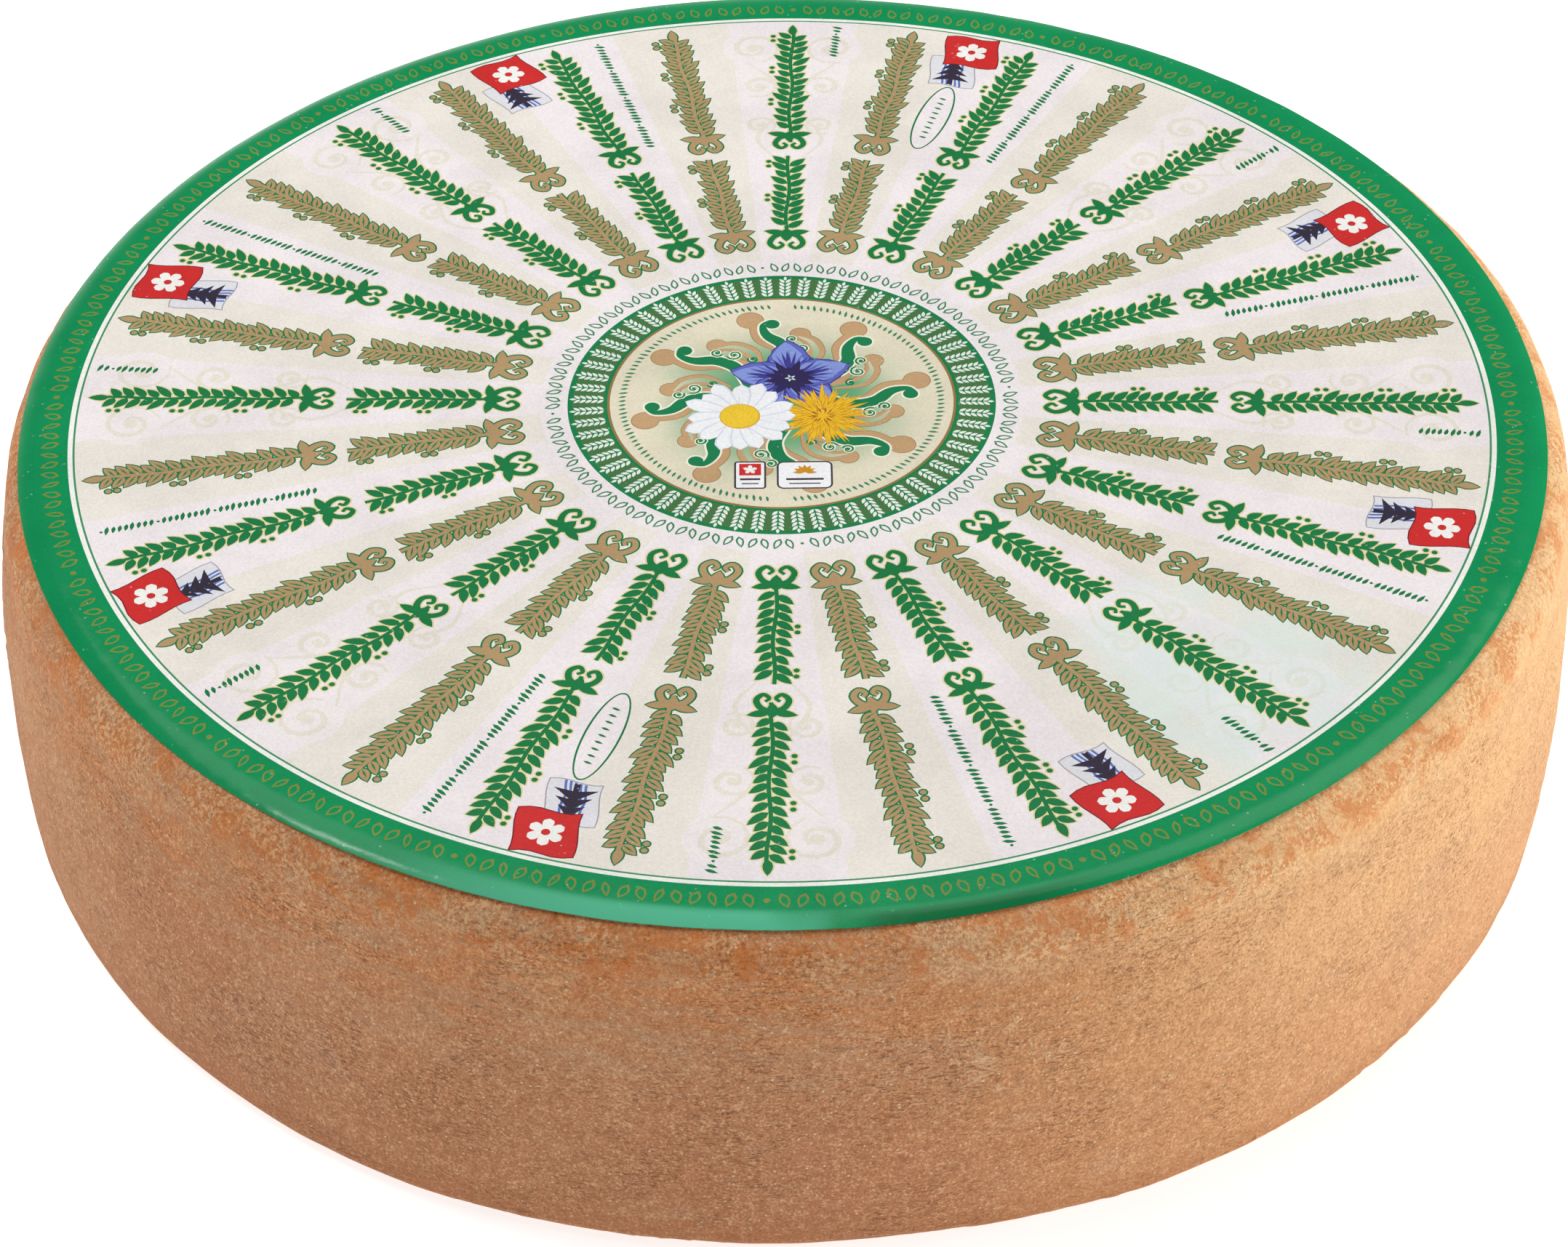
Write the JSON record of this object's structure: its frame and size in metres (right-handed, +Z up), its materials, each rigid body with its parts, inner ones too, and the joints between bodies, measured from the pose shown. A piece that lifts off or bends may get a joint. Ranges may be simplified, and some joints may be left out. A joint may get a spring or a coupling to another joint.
{
  "type": "cheese wheel",
  "caption": "Whole flat round semi-hard cheese with a brown washed rind and a printed paper disc stuck over its top face.",
  "frame": {"origin": "middle of the underside, on the surface the wheel rests on", "axes": "+Z up along the wheel's axis, through the middle of the label; +X and +Y lie in the underside"},
  "size_m": [0.313, 0.313, 0.0766],
  "materials": {
    "rind": "dry natural washed rind, orange to grey brown, slightly grainy, with a faint waxy sheen",
    "label_paper": "printed and film-coated label paper, satin to glossy"
  },
  "bodies": {
    "root": {"cheese_wheel": "rind", "top_label": "label_paper"}
  },
  "joints": []
}
